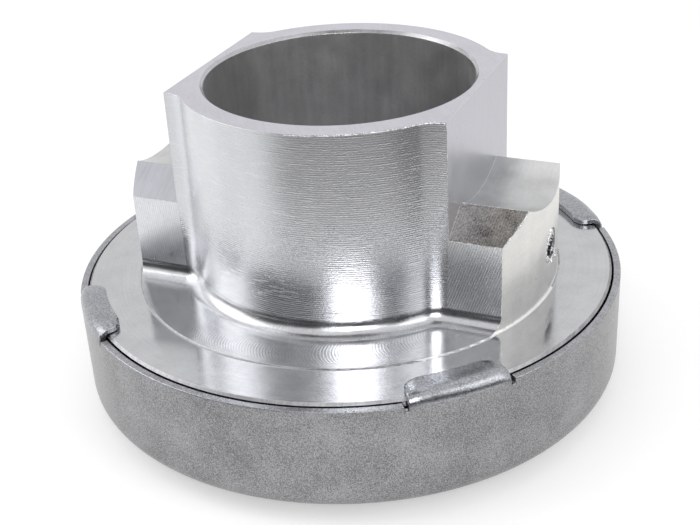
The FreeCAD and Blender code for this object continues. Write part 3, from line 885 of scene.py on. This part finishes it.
def makeCup(s):
    # A cell of the sheet is kept below the slits' foot, on a tab, or on the plain rim up to its top.
    # Every open edge of the outer sheet is closed by a strip to the inner one.
    points, kind, rows, bodyRows, footRows = cupPoints(s)
    count = len(kind)
    cells = gridQuads(rows, count, True)
    i, j = np.divmod(cells[:, 0], count)
    beside = (j + 1) % count
    tabHere = (kind[j] == 1) & (kind[beside] == 1)
    rimHere = (kind[j] == 2) | (kind[beside] == 2)
    outer = cells[(i < footRows - 1) | tabHere | (rimHere & (i < bodyRows - 1))]
    shift = rows * count
    start, end = outer.reshape(-1), np.roll(outer, -1, axis=1).reshape(-1)
    lone = ~np.isin(start * shift + end, end * shift + start)
    strips = np.stack([end[lone], start[lone], start[lone] + shift, end[lone] + shift], -1)
    faces = np.concatenate([outer, outer[:, ::-1] + shift, strips])
    onTab = faces.min(axis=1) % shift // count >= bodyRows - 1
    used, index = np.unique(faces, return_inverse=True)
    piece = newPiece("pressedCup", points[used].tolist(), index.reshape(faces.shape).tolist(),
                     finishes["phosphatedSteel"])
    mesh = piece.data
    mesh.polygons.foreach_set("use_smooth", np.ones(len(mesh.polygons), bool))
    mesh.set_sharp_from_angle(angle=math.radians(s["creaseDeg"]))
    mesh.materials.append(finishes["crimpedSteel"])
    mesh.polygons.foreach_set("material_index", onTab.astype(np.int32))
    edge = piece.modifiers.new("roundedEdges", "BEVEL")
    edge.width = s["edgeMm"] * mm
    edge.segments = s["edgeSegments"]
    edge.limit_method = "ANGLE"
    edge.angle_limit = math.radians(s["edgeFromDeg"])
    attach(piece, "carrier")
    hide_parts("retaining_cup")
    print("cup made:", len(mesh.polygons), "faces")


makeCup(cupSettings)

burrSettings = {
    "stepMm": 0.14,
    "corners": 5,
    "stepsPerWave": 9,
    "thinnest": 0.25,           # of the random thickness
    "fade": 0.25,               # of the slow wave, over which a burr comes up from the clean edge
    "cleanShare": 0.15,         # of the thickness that is left where the edge is clean
    "endMm": 0.01,
    "jag": (0.6, 1.4),
    "cheekXMm": 23.8,
    "cheekYMm": -15.8,
    "topMm": 54.9,
    "topSinkMm": 0.17,
    "cheekInsetMm": (0.1, 0.2),
    "topFrom": {"radiusMm": 24.5, "yMm": -15.0, "xMm": 1.0},
    "lugTopMm": 39.1,
    "lugEdgeMm": 9.0,
    "bevelLowMm": 35.5,
    "bevelInMm": 9.5,
    "bevelStartMm": 0.3,        # gap between the cheek and the burrs on the bevels' front edges
    "bevelEndShiftMm": (0.05, -0.04, 0.05),
    "bevelPoints": 20,
    "ridgeStartMm": 0.2,
    "lugEndMm": 36.0,
    "holeMm": (2.62, 28.9),     # radius and height
    "holeTurnDeg": (95, 330),
    "holeSinkMm": 0.05,
    "holePoints": 40,
    "chipsScale": (1, 0.8, 1),
    "chipsShiftMm": (-0.35, -0.1, 0.1),
    # thickness in millimetres, how much of the edge is clean, and the seed of the random draws
    "burrs": {
        "topBurr": (0.15, 0.05, 3),
        "bevelFrontBurr": (0.12, 0.15, 7),
        "bevelEndBurr": (0.22, 0.35, 8),
        "ridgeBurr": (0.09, -0.4, 13),
        "lugEdgeBurr": (0.05, 0.4, 9),
        "cheekEdgeBurr": (0.10, 0.2, 10),
        "leftBevelBurr": (0.08, 0.3, 11),
        "clipHoleBurr": (0.60, 0.10, 12),
        "clipHoleChips": (0.75, 0.35, 15),
    },
}


def makeBurr(name, path, s):
    # A torn thread along an edge: a ring of corners carried along the path. The thickness at each step is
    # random, and a slower random wave takes it down to a hair where the edge is clean.
    thickMm, clean, seed = s["burrs"][name]
    dice = np.random.default_rng(seed)
    length = np.concatenate([[0], np.cumsum(np.linalg.norm(np.diff(path, axis=0), axis=1))])
    steps = max(int(length[-1] / s["stepMm"]), 4)
    at = np.linspace(0, length[-1], steps + 1)
    line = np.stack([np.interp(at, length, path[:, k]) for k in range(3)], -1)
    ahead = np.gradient(line, axis=0)
    ahead /= np.linalg.norm(ahead, axis=1)[:, None]
    helper = np.where(np.abs(ahead[:, 2:]) > 0.9, [[1.0, 0, 0]], [[0, 0, 1.0]])
    side = np.cross(ahead, helper)
    side /= np.linalg.norm(side, axis=1)[:, None]
    other = np.cross(side, ahead)
    waves = max(steps // s["stepsPerWave"], 3)
    slow = np.interp(at, np.linspace(0, length[-1], waves), dice.random(waves))
    thick = thickMm * (s["thinnest"] + (1 - s["thinnest"]) * dice.random(steps + 1))
    thick = thick * np.clip((slow - clean) / s["fade"], s["cleanShare"], 1)
    thick[[0, -1]] = s["endMm"]
    least, most = s["jag"]
    jag = least + (most - least) * dice.random((steps + 1, s["corners"]))
    turn = 2 * np.pi * np.arange(s["corners"]) / s["corners"]
    spokes = np.cos(turn)[None, :, None] * side[:, None] + np.sin(turn)[None, :, None] * other[:, None]
    ring = line[:, None] + (thick[:, None] * jag)[..., None] * spokes
    quads = gridQuads(steps + 1, s["corners"], True)[:, ::-1]
    ends = [list(range(s["corners"]))[::-1],
            list(range(steps * s["corners"], (steps + 1) * s["corners"]))]
    points = (ring.reshape(-1, 3) * mm).tolist()
    piece = newPiece(name, points, quads.tolist() + ends, finishes["burredAluminium"])
    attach(piece, "carrier")


def burrPaths(s):
    # The edges in millimetres. The top one follows the carrier's own points; the others run along the
    # cheek's front edge, the lugs' bevels and ridge, and the clip hole on the lug's round end, where x is
    # the root of the end's radius squared less y squared.
    points = readArray(bpy.data.objects["carrierBody"].data.vertices, "co") / mm
    top = s["topFrom"]
    rim = points[(np.abs(points[:, 2] - s["topMm"]) < 0.01)
                 & (np.hypot(points[:, 0], points[:, 1]) > top["radiusMm"])
                 & (points[:, 1] < top["yMm"]) & (points[:, 0] > top["xMm"])]

    def endX(y):
        return np.sqrt(s["lugEndMm"] ** 2 - y ** 2)

    cheek, y, low = s["cheekXMm"], s["cheekYMm"], s["bevelLowMm"]
    ridgeY, ridgeZ = -s["bevelInMm"], s["lugTopMm"]
    across = np.linspace(y, ridgeY, s["bevelPoints"])
    rise = low + (ridgeZ - low) * (across - y) / (ridgeY - y)
    start, (under, over) = s["bevelStartMm"], s["cheekInsetMm"]
    holeRadius, holeZ = s["holeMm"]
    turn = np.radians(np.linspace(*s["holeTurnDeg"], s["holePoints"]))
    holeY = holeRadius * np.cos(turn)
    hole = np.stack([endX(holeY) - s["holeSinkMm"], holeY, holeZ + holeRadius * np.sin(turn)], -1)
    return {
        "topBurr": rim[np.argsort(rim[:, 0])] - [0, 0, s["topSinkMm"]],
        "bevelFrontBurr": np.array([[cheek + start, y, low], [endX(y), y, low]]),
        "bevelEndBurr": np.stack([endX(across), across, rise], -1) + s["bevelEndShiftMm"],
        "ridgeBurr": np.array([[cheek + s["ridgeStartMm"], ridgeY, ridgeZ],
                               [endX(ridgeY), ridgeY, ridgeZ]]),
        "lugEdgeBurr": np.array([[endX(y), y, low], [endX(y), y, low - s["lugEdgeMm"]]]),
        "cheekEdgeBurr": np.array([[cheek, y, s["topMm"] - under], [cheek, y, low + over]]),
        "leftBevelBurr": np.array([[-cheek - start, y, low], [-endX(y), y, low]]),
        "clipHoleBurr": hole,
        "clipHoleChips": hole * s["chipsScale"] + s["chipsShiftMm"],
    }


def makeBurrs(s):
    for name, path in burrPaths(s).items():
        makeBurr(name, path, s)
    print("burrs made:", len(s["burrs"]))


makeBurrs(burrSettings)
